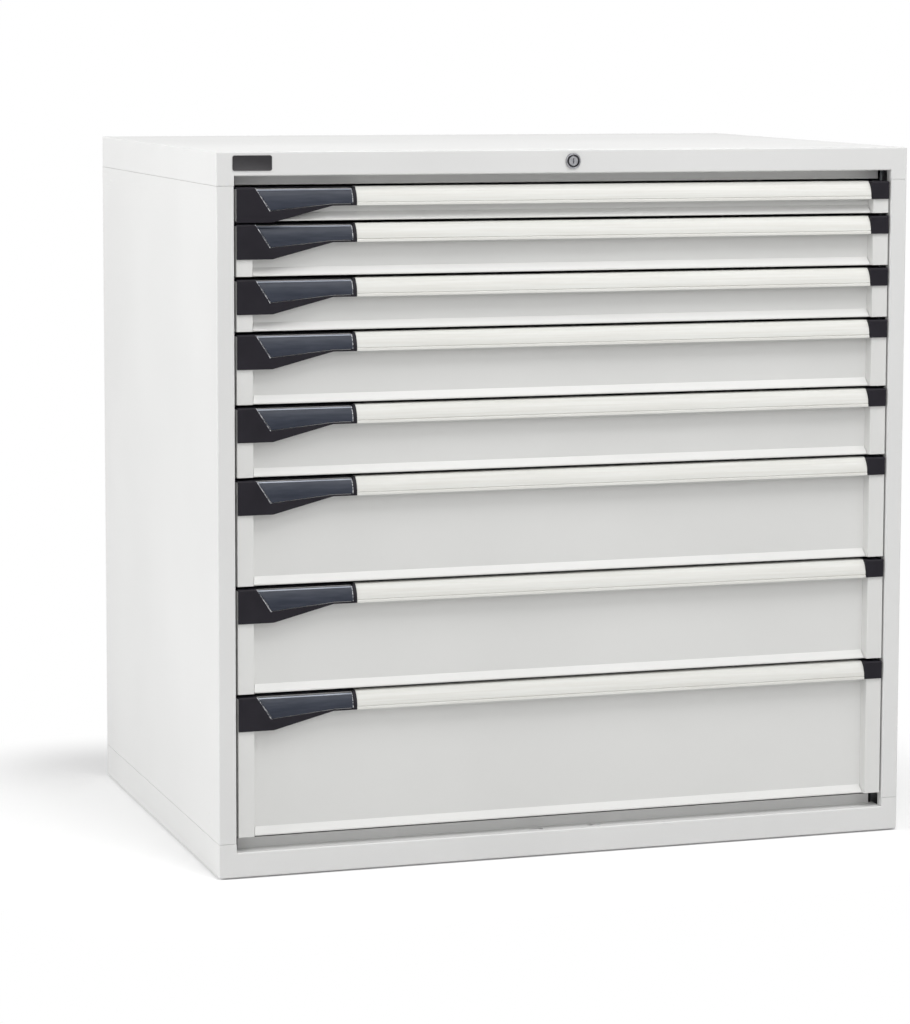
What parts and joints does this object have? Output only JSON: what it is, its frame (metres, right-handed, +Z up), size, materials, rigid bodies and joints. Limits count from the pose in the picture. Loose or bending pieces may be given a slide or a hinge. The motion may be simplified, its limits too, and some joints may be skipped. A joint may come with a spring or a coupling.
{
  "type": "steel drawer cabinet",
  "caption": "Free-standing steel cabinet with shallow to deep drawers on telescopic slides, curved handle strips with release levers and a central lock, for microscope slides.",
  "frame": {"origin": "On the floor under the middle of the housing: the middle of the base pan's underside.", "axes": "+Z up, +Y back, +X to the right seen from the front; the drawers open towards -Y."},
  "size_m": [1.023, 0.7278, 1],
  "materials": {
    "housing_enamel": "light grey fine-textured powder coat, semi-matt",
    "drawer_enamel": "light grey fine-textured powder coat, semi-matt",
    "handle_strip": "extruded aluminium with a smooth cream-white coat",
    "grip_plastic": "moulded ABS, near-black, fine matt grain",
    "lever_plastic": "moulded ABS, blue-black, polished",
    "slide_steel": "bright zinc-plated steel with dark rollers",
    "zinc_steel": "galvanised steel sheet",
    "lock_chrome": "chrome-plated zinc casting",
    "badge_plastic": "plain dark badge plate with no lettering"
  },
  "bodies": {
    "housing": {"side_panel_left": "housing_enamel", "side_panel_right": "housing_enamel", "top_cover": "housing_enamel", "base_pan": "housing_enamel", "back_panel": "housing_enamel", "uprights": "zinc_steel", "cabinet_guides": "zinc_steel", "badge_plate": "badge_plastic", "lock_barrel": "lock_chrome"},
    "lock_plug_body": {"lock_plug": "lock_chrome"},
    "lock_link_body": {"lock_link": "zinc_steel"},
    "lock_bar_body": {"lock_bar": "zinc_steel"},
    "drawer_1": {"drawer_1_tray": "drawer_enamel", "drawer_1_handle": "handle_strip", "drawer_1_grip": "grip_plastic", "drawer_1_end_cap": "grip_plastic"},
    "drawer_1_lever": {"drawer_1_latch": "lever_plastic"},
    "drawer_1_slides": {"drawer_1_carriage": "slide_steel"},
    "drawer_2": {"drawer_2_tray": "drawer_enamel", "drawer_2_handle": "handle_strip", "drawer_2_grip": "grip_plastic", "drawer_2_end_cap": "grip_plastic"},
    "drawer_2_lever": {"drawer_2_latch": "lever_plastic"},
    "drawer_2_slides": {"drawer_2_carriage": "slide_steel"},
    "drawer_3": {"drawer_3_tray": "drawer_enamel", "drawer_3_handle": "handle_strip", "drawer_3_grip": "grip_plastic", "drawer_3_end_cap": "grip_plastic"},
    "drawer_3_lever": {"drawer_3_latch": "lever_plastic"},
    "drawer_3_slides": {"drawer_3_carriage": "slide_steel"},
    "drawer_4": {"drawer_4_tray": "drawer_enamel", "drawer_4_handle": "handle_strip", "drawer_4_grip": "grip_plastic", "drawer_4_end_cap": "grip_plastic"},
    "drawer_4_lever": {"drawer_4_latch": "lever_plastic"},
    "drawer_4_slides": {"drawer_4_carriage": "slide_steel"},
    "drawer_5": {"drawer_5_tray": "drawer_enamel", "drawer_5_handle": "handle_strip", "drawer_5_grip": "grip_plastic", "drawer_5_end_cap": "grip_plastic"},
    "drawer_5_lever": {"drawer_5_latch": "lever_plastic"},
    "drawer_5_slides": {"drawer_5_carriage": "slide_steel"},
    "drawer_6": {"drawer_6_tray": "drawer_enamel", "drawer_6_handle": "handle_strip", "drawer_6_grip": "grip_plastic", "drawer_6_end_cap": "grip_plastic"},
    "drawer_6_lever": {"drawer_6_latch": "lever_plastic"},
    "drawer_6_slides": {"drawer_6_carriage": "slide_steel"},
    "drawer_7": {"drawer_7_tray": "drawer_enamel", "drawer_7_handle": "handle_strip", "drawer_7_grip": "grip_plastic", "drawer_7_end_cap": "grip_plastic"},
    "drawer_7_lever": {"drawer_7_latch": "lever_plastic"},
    "drawer_7_slides": {"drawer_7_carriage": "slide_steel"},
    "drawer_8": {"drawer_8_tray": "drawer_enamel", "drawer_8_handle": "handle_strip", "drawer_8_grip": "grip_plastic", "drawer_8_end_cap": "grip_plastic"},
    "drawer_8_lever": {"drawer_8_latch": "lever_plastic"},
    "drawer_8_slides": {"drawer_8_carriage": "slide_steel"}
  },
  "joints": [
    {"name": "drawer_1_slide", "type": "slide", "parent": "housing", "child": "drawer_1", "axis": [0, -1, 0], "range_m": [0, 0.61]},
    {"name": "drawer_1_slides_run", "type": "slide", "parent": "housing", "child": "drawer_1_slides", "axis": [0, -1, 0], "range_m": [0, 0.305]},
    {"name": "drawer_1_lever_pull", "type": "hinge", "parent": "drawer_1", "child": "drawer_1_lever", "pos_m": [-0.383, -0.3511, 0.9452], "axis": [-1, 0, 0], "range_deg": [0, 12], "stiffness_Nm_per_rad": 0.2, "springref_deg": -5.73},
    {"name": "drawer_2_slide", "type": "slide", "parent": "housing", "child": "drawer_2", "axis": [0, -1, 0], "range_m": [0, 0.61]},
    {"name": "drawer_2_slides_run", "type": "slide", "parent": "housing", "child": "drawer_2_slides", "axis": [0, -1, 0], "range_m": [0, 0.305]},
    {"name": "drawer_2_lever_pull", "type": "hinge", "parent": "drawer_2", "child": "drawer_2_lever", "pos_m": [-0.383, -0.3511, 0.8952], "axis": [-1, 0, 0], "range_deg": [0, 12], "stiffness_Nm_per_rad": 0.2, "springref_deg": -5.73},
    {"name": "drawer_3_slide", "type": "slide", "parent": "housing", "child": "drawer_3", "axis": [0, -1, 0], "range_m": [0, 0.61]},
    {"name": "drawer_3_slides_run", "type": "slide", "parent": "housing", "child": "drawer_3_slides", "axis": [0, -1, 0], "range_m": [0, 0.305]},
    {"name": "drawer_3_lever_pull", "type": "hinge", "parent": "drawer_3", "child": "drawer_3_lever", "pos_m": [-0.383, -0.3511, 0.8202], "axis": [-1, 0, 0], "range_deg": [0, 12], "stiffness_Nm_per_rad": 0.2, "springref_deg": -5.73},
    {"name": "drawer_4_slide", "type": "slide", "parent": "housing", "child": "drawer_4", "axis": [0, -1, 0], "range_m": [0, 0.61]},
    {"name": "drawer_4_slides_run", "type": "slide", "parent": "housing", "child": "drawer_4_slides", "axis": [0, -1, 0], "range_m": [0, 0.305]},
    {"name": "drawer_4_lever_pull", "type": "hinge", "parent": "drawer_4", "child": "drawer_4_lever", "pos_m": [-0.383, -0.3511, 0.7452], "axis": [-1, 0, 0], "range_deg": [0, 12], "stiffness_Nm_per_rad": 0.2, "springref_deg": -5.73},
    {"name": "drawer_5_slide", "type": "slide", "parent": "housing", "child": "drawer_5", "axis": [0, -1, 0], "range_m": [0, 0.61]},
    {"name": "drawer_5_slides_run", "type": "slide", "parent": "housing", "child": "drawer_5_slides", "axis": [0, -1, 0], "range_m": [0, 0.305]},
    {"name": "drawer_5_lever_pull", "type": "hinge", "parent": "drawer_5", "child": "drawer_5_lever", "pos_m": [-0.383, -0.3511, 0.6452], "axis": [-1, 0, 0], "range_deg": [0, 12], "stiffness_Nm_per_rad": 0.2, "springref_deg": -5.73},
    {"name": "drawer_6_slide", "type": "slide", "parent": "housing", "child": "drawer_6", "axis": [0, -1, 0], "range_m": [0, 0.61]},
    {"name": "drawer_6_slides_run", "type": "slide", "parent": "housing", "child": "drawer_6_slides", "axis": [0, -1, 0], "range_m": [0, 0.305]},
    {"name": "drawer_6_lever_pull", "type": "hinge", "parent": "drawer_6", "child": "drawer_6_lever", "pos_m": [-0.383, -0.3511, 0.5452], "axis": [-1, 0, 0], "range_deg": [0, 12], "stiffness_Nm_per_rad": 0.2, "springref_deg": -5.73},
    {"name": "drawer_7_slide", "type": "slide", "parent": "housing", "child": "drawer_7", "axis": [0, -1, 0], "range_m": [0, 0.61]},
    {"name": "drawer_7_slides_run", "type": "slide", "parent": "housing", "child": "drawer_7_slides", "axis": [0, -1, 0], "range_m": [0, 0.305]},
    {"name": "drawer_7_lever_pull", "type": "hinge", "parent": "drawer_7", "child": "drawer_7_lever", "pos_m": [-0.383, -0.3511, 0.3952], "axis": [-1, 0, 0], "range_deg": [0, 12], "stiffness_Nm_per_rad": 0.2, "springref_deg": -5.73},
    {"name": "drawer_8_slide", "type": "slide", "parent": "housing", "child": "drawer_8", "axis": [0, -1, 0], "range_m": [0, 0.61]},
    {"name": "drawer_8_slides_run", "type": "slide", "parent": "housing", "child": "drawer_8_slides", "axis": [0, -1, 0], "range_m": [0, 0.305]},
    {"name": "drawer_8_lever_pull", "type": "hinge", "parent": "drawer_8", "child": "drawer_8_lever", "pos_m": [-0.383, -0.3511, 0.2452], "axis": [-1, 0, 0], "range_deg": [0, 12], "stiffness_Nm_per_rad": 0.2, "springref_deg": -5.73},
    {"name": "lock_turn", "type": "hinge", "parent": "housing", "child": "lock_plug_body", "pos_m": [0, -0.3625, 0.984], "axis": [0, 1, 0], "range_deg": [0, 90]},
    {"name": "lock_link_run", "type": "slide", "parent": "housing", "child": "lock_link_body", "axis": [1, 0, 0], "range_m": [0, 0.008]},
    {"name": "lock_bar_lift", "type": "slide", "parent": "housing", "child": "lock_bar_body", "axis": [0, 0, 1], "range_m": [0, 0.008]}
  ],
  "couplings": [
    {"joint": "drawer_1_slides_run", "follows": "drawer_1_slide", "ratio": 0.5},
    {"joint": "drawer_2_slides_run", "follows": "drawer_2_slide", "ratio": 0.5},
    {"joint": "drawer_3_slides_run", "follows": "drawer_3_slide", "ratio": 0.5},
    {"joint": "drawer_4_slides_run", "follows": "drawer_4_slide", "ratio": 0.5},
    {"joint": "drawer_5_slides_run", "follows": "drawer_5_slide", "ratio": 0.5},
    {"joint": "drawer_6_slides_run", "follows": "drawer_6_slide", "ratio": 0.5},
    {"joint": "drawer_7_slides_run", "follows": "drawer_7_slide", "ratio": 0.5},
    {"joint": "drawer_8_slides_run", "follows": "drawer_8_slide", "ratio": 0.5},
    {"joint": "lock_link_run", "follows": "lock_bar_lift", "ratio": 1},
    {"joint": "lock_turn", "follows": "lock_bar_lift", "rad_per_m": 196.35}
  ]
}
